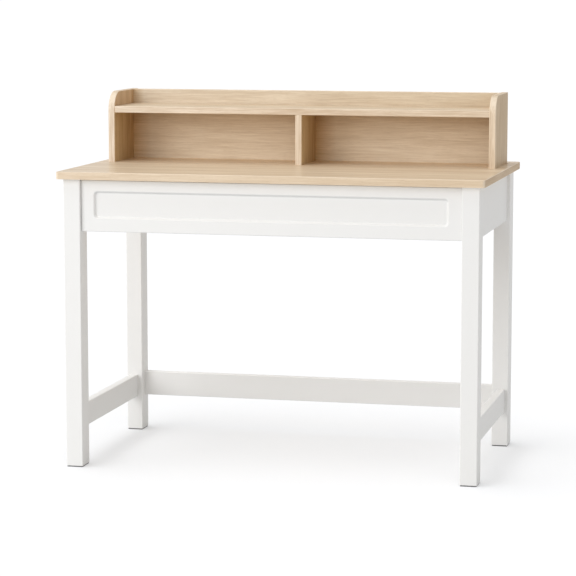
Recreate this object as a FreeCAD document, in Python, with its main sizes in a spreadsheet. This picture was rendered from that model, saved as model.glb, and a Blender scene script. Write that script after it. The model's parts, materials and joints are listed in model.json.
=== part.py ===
import FreeCAD, Part
import math
import os
import re
import Sketcher
from FreeCAD import Placement, Rotation, Vector

# Student desk with a hutch: a veneered desktop on a white four-legged frame, a full-width drawer behind a
# routed front, and a low hutch with two bays and a railed shelf standing on the back of the desktop.
# X runs along the desk, Y from its front to its back and Z up. The origin is on the floor, under the
# desktop's centre. All sizes are millimetres.

sizes = {
    # desktop
    "top_width": 1080,
    "top_depth": 600,
    "top_thickness": 19,
    "desk_height": 750,
    "top_corner_radius": 8,
    "top_edge_radius": 2,
    "top_overhang_side": 15,
    "top_overhang_front": 15,
    "top_overhang_back": 15,
    # legs and glides
    "leg_width": 43,
    "leg_depth": 55,
    "edge_radius": 2,
    "glide_height": 3,
    "glide_inset": 1.5,
    "glide_pin_radius": 2.5,
    "glide_pin_length": 18,
    # aprons, stretchers and the rail behind the drawer front
    "member_setback": 9,
    "apron_height": 131,
    "apron_thickness": 20,
    "stretcher_thickness": 21,
    "side_stretcher_height": 60,
    "side_stretcher_lift": 93,
    "rear_stretcher_height": 65,
    "rear_stretcher_lift": 94,
    "rail_depth": 50,
    "rail_thickness": 20,
    "cleat_width": 20,
    "cleat_end_gap": 30,
    # drawer
    "drawer_side_reveal": 0.5,
    "drawer_top_reveal": 2.5,
    "drawer_front_thickness": 20,
    "drawer_rail_gap": 1,
    "field_margin_side": 32,
    "field_margin_top": 26,
    "field_margin_bottom": 32,
    "field_depth": 7,
    "field_wall": 7,
    "field_corner_radius": 12,
    "pull_width": 320,
    "pull_radius": 8,
    "drawer_box_depth": 400,
    "drawer_side_gap": 4,
    "drawer_side_thickness": 15,
    "drawer_side_height": 90,
    "drawer_box_lift": 14,
    "drawer_back_thickness": 12,
    "drawer_bottom_thickness": 5,
    "drawer_bottom_lift": 8,
    "bottom_groove_depth": 6,
    "bottom_groove_fit": 0.5,
    "bearer_width": 40,
    "runner_height": 18,
    "runner_lift": 42,
    "runner_groove_depth": 8,
    "runner_fit": 0.4,
    "drawer_hold": 120,
    "drawer_edge_radius": 1.2,
    "stop_width": 60,
    "stop_depth": 20,
    "stop_height": 32,
    "stop_fit": 0.5,
    # hutch
    "hutch_inset": 28,
    "hutch_back_ledge": 45,
    "hutch_depth": 210,
    "hutch_height": 184,
    "hutch_board": 17,
    "hutch_corner_radius": 50,
    "hutch_edge_radius": 2,
    "gallery_height": 38,
    "shelf_setback": 2,
    "hutch_back_thickness": 15,
    "hutch_back_recess": 28,
    # dowels, cams and screws
    "dowel_radius": 4,
    "dowel_length": 40,
    "thin_dowel_radius": 3,
    "thin_dowel_length": 20,
    "dowel_fit": 0.1,
    "dowel_end_fit": 0.5,
    "apron_dowel_edge": 32,
    "stretcher_dowel_spacing": 34,
    "cam_radius": 7.5,
    "cam_floor": 1,
    "cam_setback": 24,
    "cam_bolt_radius": 3,
    "cam_bolt_bite": 11,
    "cam_fit": 0.15,
    "cam_recess_length": 9,
    "cam_recess_width": 1.6,
    "cam_recess_depth": 3,
    "screw_radius": 2,
    "screw_head_radius": 4,
    "screw_head_height": 2.4,
    "screw_fit": 0.1,
    "screw_recess_length": 4.4,
    "screw_recess_width": 1,
    "screw_recess_depth": 1.6,
    "screw_edge": 45,
    "cleat_screw_length": 34,
    "runner_screw_length": 36,
    "drawer_screw_length": 40,
    "hutch_screw_length": 56,
    "back_screw_length": 36,
    "pin_radius": 0.8,
    "pin_length": 18,
}

doc = FreeCAD.newDocument("student_desk")
sheet = doc.addObject("Spreadsheet::Sheet", "Sizes")
for row, (name, value) in enumerate(sizes.items(), 1):
    sheet.set(f"A{row}", name)
    sheet.set(f"B{row}", str(value))
    sheet.setAlias(f"B{row}", name)
doc.recompute()

pieces = []
cuts = {}
directions = {
    "x": Vector(1, 0, 0),
    "-x": Vector(-1, 0, 0),
    "y": Vector(0, 1, 0),
    "-y": Vector(0, -1, 0),
    "z": Vector(0, 0, 1),
    "-z": Vector(0, 0, -1),
}
sides = ("left", "right")


def formula(text):
    """An expression whose words that name a size read that size from the sheet."""
    def cell(word):
        return f"Sizes.{word[0]}" if word[0] in sizes else word[0]

    return re.sub(r"[a-z_]{3,}", cell, str(text))


def bind(thing, **properties):
    for name, text in properties.items():
        thing.setExpression(name, formula(text))


def place(thing, low):
    for axis, text in zip("xyz", low):
        thing.setExpression(f".Placement.Base.{axis}", formula(text))


def across(side, near, far):
    """Lowest x of a board that lies between near and far from the middle, on one side of the desk."""
    return near if side == "right" else f"-({far})"


def at(side, distance):
    """x at a distance from the middle, on one side of the desk."""
    return distance if side == "right" else f"-({distance})"


def outwards(side):
    return "x" if side == "right" else "-x"


def inwards(side):
    return "-x" if side == "right" else "x"


def middle(low, high):
    return f"(({low}) + ({high})) / 2"


# Sketches

right_angle = math.pi / 2
sketch_normal = Vector(0, 0, 1)


def plane_sketch(body, name, role, offset=None):
    """A sketch on one of the body's own origin planes, moved along that plane's normal by offset."""
    sketch = body.newObject("Sketcher::SketchObject", name)
    plane = next(plane for plane in body.Origin.OriginFeatures if plane.Role == role)
    sketch.AttachmentSupport = [(plane, "")]
    sketch.MapMode = "FlatFace"
    if offset is not None:
        sketch.setExpression(".AttachmentOffset.Base.z", formula(offset))
    return sketch


def measure(sketch, name, text, *where):
    """A named dimension of the sketch that follows an expression."""
    number = sketch.addConstraint(Sketcher.Constraint(*where))
    sketch.renameConstraint(number, name)
    sketch.setExpression(f"Constraints.{name}", formula(text))


def join_ends(sketch, first, second, tangent=False):
    sketch.addConstraint(Sketcher.Constraint("Tangent" if tangent else "Coincident", first, 2, second, 1))


def rectangle(sketch, width, height):
    """A rectangle with one corner on the sketch's origin."""
    corners = [Vector(0, 0, 0), Vector(100, 0, 0), Vector(100, 50, 0), Vector(0, 50, 0)]
    for number in range(4):
        sketch.addGeometry(Part.LineSegment(corners[number], corners[(number + 1) % 4]))
    for number in range(4):
        join_ends(sketch, number, (number + 1) % 4)
        sketch.addConstraint(Sketcher.Constraint("Vertical" if number % 2 else "Horizontal", number))
    sketch.addConstraint(Sketcher.Constraint("Coincident", 0, 1, -1, 1))
    measure(sketch, "width", width, "DistanceX", 0, 1, 0, 2, 100)
    measure(sketch, "height", height, "DistanceY", 1, 1, 1, 2, 50)


def rounded_rectangle(sketch, left, low, width, height, radius):
    """A rectangle with round corners: four lines and four arcs, each tangent to the next."""
    start, wide, high, bend = 10, 200, 100, 5
    ends = [
        (Vector(start + bend, start), Vector(start + wide - bend, start)),
        (Vector(start + wide, start + bend), Vector(start + wide, start + high - bend)),
        (Vector(start + wide - bend, start + high), Vector(start + bend, start + high)),
        (Vector(start, start + high - bend), Vector(start, start + bend)),
    ]
    centres = [
        Vector(start + wide - bend, start + bend),
        Vector(start + wide - bend, start + high - bend),
        Vector(start + bend, start + high - bend),
        Vector(start + bend, start + bend),
    ]
    for number in range(4):
        sketch.addGeometry(Part.LineSegment(*ends[number]))
        circle = Part.Circle(centres[number], sketch_normal, bend)
        sketch.addGeometry(Part.ArcOfCircle(circle, (number - 1) * right_angle, number * right_angle))
    for number in range(8):
        join_ends(sketch, number, (number + 1) % 8, tangent=True)
    for number in range(4):
        sketch.addConstraint(Sketcher.Constraint("Vertical" if number % 2 else "Horizontal", 2 * number))
    for number in (3, 5, 7):
        sketch.addConstraint(Sketcher.Constraint("Equal", 1, number))
    measure(sketch, "radius", radius, "Radius", 1, bend)
    measure(sketch, "left", left, "DistanceX", -1, 1, 6, 1, start)
    measure(sketch, "low", low, "DistanceY", -1, 1, 0, 1, start)
    measure(sketch, "width", width, "DistanceX", 6, 1, 2, 1, wide)
    measure(sketch, "height", height, "DistanceY", 0, 1, 4, 1, high)


def side_outline(sketch, depth, height, radius):
    """A panel seen from the side, with its upper front corner rounded."""
    wide, high, bend = 200, 180, 40
    sketch.addGeometry(Part.LineSegment(Vector(0, 0), Vector(wide, 0)))
    sketch.addGeometry(Part.LineSegment(Vector(wide, 0), Vector(wide, high)))
    sketch.addGeometry(Part.LineSegment(Vector(wide, high), Vector(bend, high)))
    circle = Part.Circle(Vector(bend, high - bend), sketch_normal, bend)
    sketch.addGeometry(Part.ArcOfCircle(circle, right_angle, 2 * right_angle))
    sketch.addGeometry(Part.LineSegment(Vector(0, high - bend), Vector(0, 0)))
    for number in range(5):
        join_ends(sketch, number, (number + 1) % 5, tangent=number in (2, 3))
    for number, kind in ((0, "Horizontal"), (1, "Vertical"), (2, "Horizontal"), (4, "Vertical")):
        sketch.addConstraint(Sketcher.Constraint(kind, number))
    sketch.addConstraint(Sketcher.Constraint("Coincident", 0, 1, -1, 1))
    measure(sketch, "radius", radius, "Radius", 3, bend)
    measure(sketch, "depth", depth, "DistanceX", 0, 1, 0, 2, wide)
    measure(sketch, "height", height, "DistanceY", 1, 1, 1, 2, high)


# Boards and their cuts

# Lengths below this count as none when edges are picked
flat = 1e-4


def pad(body, sketch, length):
    made = body.newObject("PartDesign::Pad", f"{body.Name}_pad")
    made.Profile = sketch
    bind(made, Length=length)
    doc.recompute()
    return made


def ease(body, feature, edges, radius):
    """Rounds the named edges of the body's last feature, or every edge."""
    rounding = body.newObject("PartDesign::Fillet", f"{body.Name}_eased_edges")
    rounding.Base = (feature, edges or ["Edge1"])
    rounding.UseAllEdges = not edges
    bind(rounding, Radius=radius)


def rim_edges(shape, axis, stands=False):
    """Names of the edges in a pad's two end faces, which are square to the axis.

    A piece that stands keeps its foot.
    """
    ends = (getattr(shape.BoundBox, f"{axis}Min"), getattr(shape.BoundBox, f"{axis}Max"))
    names = []
    for number, edge in enumerate(shape.Edges, 1):
        low, high = getattr(edge.BoundBox, f"{axis}Min"), getattr(edge.BoundBox, f"{axis}Max")
        at_foot = stands and edge.BoundBox.ZMax - shape.BoundBox.ZMin < flat
        if high - low < flat and min(abs(low - end) for end in ends) < flat and not at_foot:
            names.append(f"Edge{number}")
    return names


def long_edges(shape, axis, stands=False):
    """Names of the edges that run along the axis. A piece that stands keeps its foot."""
    others = [letter for letter in "XYZ" if letter != axis]
    names = []
    for number, edge in enumerate(shape.Edges, 1):
        at_foot = stands and edge.BoundBox.ZMax - shape.BoundBox.ZMin < flat
        if all(getattr(edge.BoundBox, f"{letter}Length") < flat for letter in others) and not at_foot:
            names.append(f"Edge{number}")
    return names


def board(name, low, span, along=None, radius="edge_radius", stands=False):
    """A rectangular board from its lowest corner. The edges along its length are eased, or all of them."""
    body = doc.addObject("PartDesign::Body", f"{name}_board")
    sketch = plane_sketch(body, f"{name}_outline", "XY_Plane")
    rectangle(sketch, span[0], span[1])
    blank = pad(body, sketch, span[2])
    ease(body, blank, long_edges(blank.Shape, along, stands) if along else None, radius)
    place(body, low)
    cuts[name] = []
    return body


def block(name, low, span):
    """A plain block, used as a groove cutter or a small square piece."""
    made = doc.addObject("Part::Box", name)
    bind(made, Length=span[0], Width=span[1], Height=span[2])
    place(made, low)
    return made


def cylinder(name, start, axis, radius, length):
    made = doc.addObject("Part::Cylinder", name)
    made.Placement = Placement(Vector(), Rotation(directions["z"], directions[axis]))
    bind(made, Radius=radius, Height=length)
    place(made, start)
    return made


def cone(name, start, axis, first, last, length):
    made = doc.addObject("Part::Cone", name)
    made.Placement = Placement(Vector(), Rotation(directions["z"], directions[axis]))
    bind(made, Radius1=first, Radius2=last, Height=length)
    place(made, start)
    return made


def fuse(name, first, second):
    made = doc.addObject("Part::Fuse", name)
    made.Base = first
    made.Tool = second
    return made


def cut(name, base, tool):
    made = doc.addObject("Part::Cut", name)
    made.Base = base
    made.Tool = tool
    return made


def gather(name, members):
    made = doc.addObject("Part::Compound", name)
    made.Links = members
    return made


def drill(tool, *names):
    """Notes that a hole or groove goes through the named boards."""
    for name in names:
        cuts[name].append(tool)


def finish(name, blank):
    """Cuts every noted hole and groove out of a board, which is then the finished piece."""
    tools = cuts[name]
    piece = blank
    if tools:
        tool = tools[0] if len(tools) == 1 else gather(f"{name}_cuts", tools)
        piece = cut(f"{name}_drilled", blank, tool)
    piece.Label = name
    pieces.append(piece)


def finish_group(name, members):
    """A set of like fasteners, kept together as separate solids."""
    piece = gather(f"{name}_set", members)
    piece.Label = name
    pieces.append(piece)


# Fasteners: each maker returns the fastener, or adds it to its set, and drills the boards that it joins

def step(start, axis, distance):
    """A point moved along an axis."""
    sign = "-" if axis.startswith("-") else "+"
    moved = []
    for letter, text in zip("xyz", start):
        moved.append(f"{text} {sign} ({distance})" if letter == axis[-1] else text)
    return moved


def cross_recess(name, start, axis, length, width, depth):
    """Two slots that cross on the axis, cut inwards from the face at start for a driver."""
    face = step(start, axis, depth) if axis.startswith("-") else start
    slots = []
    for long_axis in "xyz".replace(axis[-1], ""):
        corner = []
        span = []
        for letter, text in zip("xyz", face):
            extent = depth if letter == axis[-1] else length if letter == long_axis else width
            corner.append(text if letter == axis[-1] else f"{text} - {extent} / 2")
            span.append(extent)
        slots.append(block(f"{name}_slot_{long_axis}", corner, span))
    return fuse(f"{name}_recess", *slots)


def dowel(name, centre, axis, radius, length, *boards):
    pin = cylinder(name, step(centre, axis, f"-({length}) / 2"), axis, radius, length)
    hole_start = step(centre, axis, f"-({length}) / 2 - dowel_end_fit")
    hole_length = f"{length} + 2 * dowel_end_fit"
    hole = cylinder(f"{name}_hole", hole_start, axis, f"{radius} + dowel_fit", hole_length)
    drill(hole, *boards)
    return pin


def screw(name, start, axis, length, *boards):
    """A countersunk screw whose crossed head is flush with the face that it starts from."""
    made = []
    for part, spare in ((f"{name}_blank", "0"), (f"{name}_hole", "screw_fit")):
        head_radius = f"screw_head_radius + {spare}"
        radius = f"screw_radius + {spare}"
        head = cone(f"{part}_head", start, axis, head_radius, radius, "screw_head_height")
        shank = cylinder(f"{part}_shank", start, axis, radius, f"{length} + {spare}")
        made.append(fuse(part, head, shank))
    blank, hole = made
    drill(hole, *boards)
    recess_span = ("screw_recess_length", "screw_recess_width", "screw_recess_depth")
    return cut(name, blank, cross_recess(name, start, axis, *recess_span))


def cam_joint(name, joint, axis, face, cam_axis, thickness, member, post):
    """A cam in the member's face and the bolt that it draws out of the post.

    joint is the point where the bolt crosses the member's end, axis leads from there into the post, and face
    is the place of the member's face, along the cam's own axis, that the cam is let into. The bolt runs in
    the middle of the member's thickness, and the cam reaches a little past it.
    """
    centre = step(joint, axis, "-cam_setback")
    mouth = [face if letter == cam_axis[-1] else text for letter, text in zip("xyz", centre)]
    bolt_start = step(joint, axis, "-cam_setback - cam_bolt_radius")
    bolt_length = "cam_setback + cam_bolt_radius + cam_bolt_bite"
    bolt = cylinder(f"{name}_bolt", bolt_start, axis, "cam_bolt_radius", bolt_length)
    bolt_hole = cylinder(
        f"{name}_bolt_hole",
        step(bolt_start, axis, "-cam_fit"),
        axis,
        "cam_bolt_radius + cam_fit",
        f"{bolt_length} + 2 * cam_fit",
    )
    cam_height = f"{thickness} / 2 + cam_bolt_radius + cam_floor"
    disc = cylinder(f"{name}_disc", mouth, cam_axis, "cam_radius", cam_height)
    hole_height = f"{cam_height} + cam_fit"
    cam_hole = cylinder(f"{name}_cam_hole", mouth, cam_axis, "cam_radius + cam_fit", hole_height)
    seat = fuse(f"{name}_seat", bolt_hole, cam_hole)
    drill(seat, member)
    drill(bolt_hole, post)
    recess_span = ("cam_recess_length", "cam_recess_width", "cam_recess_depth")
    recess = cross_recess(f"{name}_cam", mouth, cam_axis, *recess_span)
    return bolt, cut(f"{name}_cam", cut(f"{name}_bored_disc", disc, bolt_hole), recess)


# Places that several pieces share

leg_outer = "(top_width / 2 - top_overhang_side)"
leg_inner = f"({leg_outer} - leg_width)"
front_leg_front = "(-top_depth / 2 + top_overhang_front)"
front_leg_back = f"({front_leg_front} + leg_depth)"
rear_leg_back = "(top_depth / 2 - top_overhang_back)"
rear_leg_front = f"({rear_leg_back} - leg_depth)"
top_under = "(desk_height - top_thickness)"
apron_low = f"({top_under} - apron_height)"
apron_outer = f"({leg_outer} - member_setback)"
apron_inner = f"({apron_outer} - apron_thickness)"
back_apron_back = f"({rear_leg_back} - member_setback)"
back_apron_front = f"({back_apron_back} - apron_thickness)"
stretcher_back = f"({rear_leg_back} - member_setback)"
stretcher_front = f"({stretcher_back} - stretcher_thickness)"
panel_front = f"({front_leg_front} + member_setback)"
panel_back = f"({panel_front} + drawer_front_thickness)"
rail_front = f"({panel_back} + drawer_rail_gap)"
rail_low = f"({top_under} - rail_thickness)"
cleat_low = f"({top_under} - cleat_width)"
box_low = f"({apron_low} + drawer_box_lift)"
box_high = f"({box_low} + drawer_side_height)"
box_outer = f"({leg_inner} - drawer_side_gap)"
box_inner = f"({box_outer} - drawer_side_thickness)"
box_back = f"({panel_back} + drawer_box_depth)"
drawer_back_front = f"({box_back} - drawer_back_thickness)"
bottom_low = f"({box_low} + drawer_bottom_lift)"
bottom_high = f"({bottom_low} + drawer_bottom_thickness)"
runner_low = f"({box_low} + runner_lift)"
runner_inner = f"({box_outer} - runner_groove_depth + runner_fit)"
hutch_outer = "(top_width / 2 - hutch_inset)"
hutch_inner = f"({hutch_outer} - hutch_board)"
hutch_back = "(top_depth / 2 - hutch_back_ledge)"
hutch_front = f"({hutch_back} - hutch_depth)"
hutch_top = "(desk_height + hutch_height)"
shelf_high = f"({hutch_top} - gallery_height)"
shelf_low = f"({shelf_high} - hutch_board)"
shelf_front = f"({hutch_front} + shelf_setback)"
back_panel_back = f"({hutch_back} - hutch_back_recess)"
back_panel_front = f"({back_panel_back} - hutch_back_thickness)"
blanks = {}

# Desktop: round corners, then eased along its upper and lower edges

desktop = doc.addObject("PartDesign::Body", "desktop_board")
top_sketch = plane_sketch(desktop, "desktop_outline", "XY_Plane")
rounded_rectangle(top_sketch, "0", "0", "top_width", "top_depth", "top_corner_radius")
top_pad = pad(desktop, top_sketch, "top_thickness")
ease(desktop, top_pad, rim_edges(top_pad.Shape, "Z"), "top_edge_radius")
place(desktop, ("-top_width / 2", "-top_depth / 2", top_under))
cuts["desktop"] = []
blanks["desktop"] = desktop

# Frame

for side in sides:
    for row, low in (("front", front_leg_front), ("rear", rear_leg_front)):
        name = f"leg_{row}_{side}"
        blanks[name] = board(
            name,
            (across(side, leg_inner, leg_outer), low, "glide_height"),
            ("leg_width", "leg_depth", f"{top_under} - glide_height"),
            along="Z",
        )
    name = f"side_apron_{side}"
    blanks[name] = board(
        name,
        (across(side, apron_inner, apron_outer), front_leg_back, apron_low),
        ("apron_thickness", f"{rear_leg_front} - {front_leg_back}", "apron_height"),
        along="Y",
    )
    name = f"side_stretcher_{side}"
    blanks[name] = board(
        name,
        (
            across(side, f"({apron_outer} - stretcher_thickness)", apron_outer),
            front_leg_back,
            "side_stretcher_lift",
        ),
        ("stretcher_thickness", f"{rear_leg_front} - {front_leg_back}", "side_stretcher_height"),
        along="Y",
    )

blanks["back_apron"] = board(
    "back_apron",
    (f"-{leg_inner}", back_apron_front, apron_low),
    (f"2 * {leg_inner}", "apron_thickness", "apron_height"),
    along="X",
)
blanks["rear_stretcher"] = board(
    "rear_stretcher",
    (f"-{leg_inner}", stretcher_front, "rear_stretcher_lift"),
    (f"2 * {leg_inner}", "stretcher_thickness", "rear_stretcher_height"),
    along="X",
)
blanks["front_top_rail"] = board(
    "front_top_rail",
    (f"-{leg_inner}", rail_front, rail_low),
    (f"2 * {leg_inner}", "rail_depth", "rail_thickness"),
    along="X",
)

# Cleats that the desktop is screwed down with

cleat_start = f"({front_leg_back} + cleat_end_gap)"
cleat_end = f"({rear_leg_front} - cleat_end_gap)"
back_cleat_end = f"({leg_inner} - cleat_end_gap)"
for side in sides:
    name = f"top_cleat_{side}"
    blanks[name] = board(
        name,
        (across(side, f"({apron_inner} - cleat_width)", apron_inner), cleat_start, cleat_low),
        ("cleat_width", f"{cleat_end} - {cleat_start}", "cleat_width"),
        along="Y",
    )
blanks["top_cleat_back"] = board(
    "top_cleat_back",
    (f"-{back_cleat_end}", f"({back_apron_front} - cleat_width)", cleat_low),
    (f"2 * {back_cleat_end}", "cleat_width", "cleat_width"),
    along="X",
)

# Drawer: a front with a routed field, a box that hangs on two runners, and a stop under the desktop

front_width = f"(2 * ({leg_inner} - drawer_side_reveal))"
front_height = "(apron_height - drawer_top_reveal)"
drawer_front = board(
    "drawer_front",
    (f"-{front_width} / 2", panel_front, apron_low),
    (front_width, "drawer_front_thickness", front_height),
)
field_width = f"({front_width} - 2 * field_margin_side)"
field_height = f"({front_height} - field_margin_top - field_margin_bottom)"
# The wall round the field runs in an S: shares of its width, and how deep it is there
field_profile = ((0, 0), (0.2, 0.08), (0.4, 0.32), (0.6, 0.68), (0.8, 0.92), (1, 1))
field_sections = []
for number, (width_share, depth_share) in enumerate(field_profile):
    inset = f"({width_share} * field_wall)"
    depth = f"-{depth_share} * field_depth"
    section = plane_sketch(drawer_front, f"field_section_{number}", "XZ_Plane", depth)
    rounded_rectangle(
        section,
        f"field_margin_side + {inset}",
        f"field_margin_bottom + {inset}",
        f"{field_width} - 2 * {inset}",
        f"{field_height} - 2 * {inset}",
        f"field_corner_radius - {inset}",
    )
    field_sections.append(section)
field = drawer_front.newObject("PartDesign::SubtractiveLoft", "routed_field")
field.Profile = field_sections[0]
field.Sections = field_sections[1:]
field.Ruled = True
blanks["drawer_front"] = drawer_front
pull_start = ("-pull_width / 2", panel_back, f"{apron_low} + drawer_box_lift")
pull = cylinder("finger_pull", pull_start, "x", "pull_radius", "pull_width")
drill(pull, "drawer_front")

for side in sides:
    name = f"drawer_side_{side}"
    blanks[name] = board(
        name,
        (across(side, box_inner, box_outer), panel_back, box_low),
        ("drawer_side_thickness", "drawer_box_depth", "drawer_side_height"),
        "Y",
        "drawer_edge_radius",
    )
    groove_start = f"({front_leg_back} - runner_fit)"
    groove_x = across(side, f"({box_outer} - runner_groove_depth)", box_outer)
    groove = block(
        f"runner_groove_{side}",
        (groove_x, groove_start, f"{runner_low} - runner_fit"),
        ("runner_groove_depth", f"{box_back} - {groove_start}", "runner_height + 2 * runner_fit"),
    )
    drill(groove, name)
    runner = f"drawer_runner_{side}"
    blanks[runner] = board(
        runner,
        (across(side, runner_inner, apron_inner), front_leg_back, runner_low),
        (f"{apron_inner} - {runner_inner}", f"{rear_leg_front} - {front_leg_back}", "runner_height"),
        "Y",
        "drawer_edge_radius",
    )

blanks["drawer_back"] = board(
    "drawer_back",
    (f"-{box_inner}", drawer_back_front, bottom_high),
    (f"2 * {box_inner}", "drawer_back_thickness", f"{box_high} - {bottom_high}"),
    "X",
    "drawer_edge_radius",
)
bottom_reach = "(bottom_groove_depth - bottom_groove_fit)"
bottom_start = f"({panel_back} - {bottom_reach})"
bottom_half = f"({box_inner} + {bottom_reach})"
blanks["drawer_bottom"] = block(
    "drawer_bottom_board",
    (f"-{bottom_half}", bottom_start, bottom_low),
    (f"2 * {bottom_half}", f"{box_back} - {bottom_start}", "drawer_bottom_thickness"),
)
cuts["drawer_bottom"] = []
bottom_groove = block(
    "bottom_groove",
    (f"-({box_inner} + bottom_groove_depth)", f"{panel_back} - bottom_groove_depth", bottom_low),
    (
        f"2 * ({box_inner} + bottom_groove_depth)",
        "drawer_box_depth + bottom_groove_depth",
        "drawer_bottom_thickness + dowel_fit",
    ),
)
drill(bottom_groove, "drawer_front", "drawer_side_left", "drawer_side_right")
blanks["drawer_bottom_bearer"] = board(
    "drawer_bottom_bearer",
    ("-bearer_width / 2", panel_back, box_low),
    ("bearer_width", "drawer_box_depth", "drawer_bottom_lift"),
    "Y",
    "drawer_edge_radius",
)
drawer_travel = "(drawer_box_depth - drawer_hold)"
stop_back = f"({drawer_back_front} - {drawer_travel} - stop_fit)"
blanks["drawer_stop_block"] = board(
    "drawer_stop_block",
    ("-stop_width / 2", f"{stop_back} - stop_depth", f"{top_under} - stop_height"),
    ("stop_width", "stop_depth", "stop_height"),
)

# Hutch: two sides with a rounded front corner, a shelf, a divider and a back that is a rail above the shelf

for side in sides:
    name = f"hutch_side_{side}"
    body = doc.addObject("PartDesign::Body", f"{name}_board")
    sketch = plane_sketch(body, f"{name}_outline", "YZ_Plane")
    side_outline(sketch, "hutch_depth", "hutch_height", "hutch_corner_radius")
    side_pad = pad(body, sketch, "hutch_board")
    ease(body, side_pad, rim_edges(side_pad.Shape, "X", stands=True), "hutch_edge_radius")
    place(body, (across(side, hutch_inner, hutch_outer), hutch_front, "desk_height"))
    cuts[name] = []
    blanks[name] = body

blanks["hutch_shelf"] = board(
    "hutch_shelf",
    (f"-{hutch_inner}", shelf_front, shelf_low),
    (f"2 * {hutch_inner}", f"{back_panel_front} - {shelf_front}", "hutch_board"),
    "X",
    "hutch_edge_radius",
)
blanks["hutch_divider"] = board(
    "hutch_divider",
    ("-hutch_board / 2", shelf_front, "desk_height"),
    ("hutch_board", f"{back_panel_front} - {shelf_front}", f"{shelf_low} - desk_height"),
    "Z",
    "hutch_edge_radius",
)
blanks["hutch_back_panel"] = board(
    "hutch_back_panel",
    (f"-{hutch_inner}", back_panel_front, "desk_height"),
    (f"2 * {hutch_inner}", "hutch_back_thickness", "hutch_height"),
    "X",
    "hutch_edge_radius",
    stands=True,
)

# Glides: a thin plate under each leg with a pin driven up into it

glides = []
plate_span = ("leg_width - 2 * glide_inset", "leg_depth - 2 * glide_inset", "glide_height")
for side in sides:
    for row, low in (("front", front_leg_front), ("rear", rear_leg_front)):
        name = f"glide_{row}_{side}"
        plate_x = across(side, f"{leg_inner} + glide_inset", f"{leg_outer} - glide_inset")
        plate = board(f"{name}_plate", (plate_x, f"{low} + glide_inset", "0"), plate_span, along="Z")
        centre = [at(side, f"({leg_outer} - leg_width / 2)"), f"{low} + leg_depth / 2", "0"]
        pin_length = "glide_height + glide_pin_length"
        pin = cylinder(f"{name}_pin", centre, "z", "glide_pin_radius", pin_length)
        hole_length = f"{pin_length} + dowel_end_fit"
        hole = cylinder(f"{name}_hole", centre, "z", "glide_pin_radius + dowel_fit", hole_length)
        drill(hole, f"leg_{row}_{side}")
        glides.append(fuse(name, plate, pin))
finish_group("foot_glides", glides)

# Dowels of the two side frames: legs to aprons and stretchers

frame_dowels = []
stretcher_mid = "(side_stretcher_lift + side_stretcher_height / 2)"
members = (
    (
        "side_apron",
        "apron_thickness",
        f"{apron_low} + apron_dowel_edge",
        f"{top_under} - apron_dowel_edge",
    ),
    (
        "side_stretcher",
        "stretcher_thickness",
        f"{stretcher_mid} - stretcher_dowel_spacing / 2",
        f"{stretcher_mid} + stretcher_dowel_spacing / 2",
    ),
)
for side in sides:
    for member, thickness, *heights in members:
        x = at(side, f"({apron_outer} - {thickness} / 2)")
        for row, y in (("front", front_leg_back), ("rear", rear_leg_front)):
            for level, z in zip(("lower", "upper"), heights):
                name = f"{member}_{side}_{row}_{level}_dowel"
                boards = (f"{member}_{side}", f"leg_{row}_{side}")
                frame_dowels.append(dowel(name, [x, y, z], "y", "dowel_radius", "dowel_length", *boards))
finish_group("side_frame_dowels", frame_dowels)

# Cams, bolts and dowels that draw the side frames to the back apron, the rear stretcher and the front rail

frame_bolts = []
frame_cams = []
cross_dowels = []
back_apron_mid = middle(back_apron_front, back_apron_back)
stretcher_y = middle(stretcher_front, stretcher_back)
rear_mid = "(rear_stretcher_lift + rear_stretcher_height / 2)"
for side in sides:
    joints = (
        (
            "back_apron_lower",
            [at(side, leg_inner), back_apron_mid, f"{apron_low} + apron_dowel_edge"],
            (back_apron_front, "y", "apron_thickness"),
            ("back_apron", f"leg_rear_{side}"),
        ),
        (
            "back_apron_upper",
            [at(side, leg_inner), back_apron_mid, f"{top_under} - apron_dowel_edge"],
            (back_apron_front, "y", "apron_thickness"),
            ("back_apron", f"leg_rear_{side}"),
        ),
        (
            "rear_stretcher",
            [at(side, leg_inner), stretcher_y, rear_mid],
            (stretcher_back, "-y", "stretcher_thickness"),
            ("rear_stretcher", f"leg_rear_{side}"),
        ),
        (
            "front_rail",
            [at(side, leg_inner), middle(rail_front, front_leg_back), f"{rail_low} + rail_thickness / 2"],
            (rail_low, "z", "rail_thickness"),
            ("front_top_rail", f"leg_front_{side}"),
        ),
    )
    for name, joint, cam_place, boards in joints:
        bolt, cam = cam_joint(f"{name}_{side}", joint, outwards(side), *cam_place, *boards)
        frame_bolts.append(bolt)
        frame_cams.append(cam)
    half_spacing = "stretcher_dowel_spacing / 2"
    pegs = (
        ("back_apron_peg", back_apron_mid, f"{apron_low} + apron_height / 2", "back_apron"),
        ("stretcher_lower_peg", stretcher_y, f"{rear_mid} - {half_spacing}", "rear_stretcher"),
        ("stretcher_upper_peg", stretcher_y, f"{rear_mid} + {half_spacing}", "rear_stretcher"),
    )
    for name, y, z, member in pegs:
        centre = [at(side, leg_inner), y, z]
        boards = (member, f"leg_rear_{side}")
        cross_dowels.append(dowel(f"{name}_{side}", centre, "x", "dowel_radius", "dowel_length", *boards))
finish_group("frame_cam_bolts", frame_bolts)
finish_group("frame_cam_locks", frame_cams)
finish_group("cross_dowels", cross_dowels)

# Screws through the cleats into the aprons, and up through cleats and rail into the desktop

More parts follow.
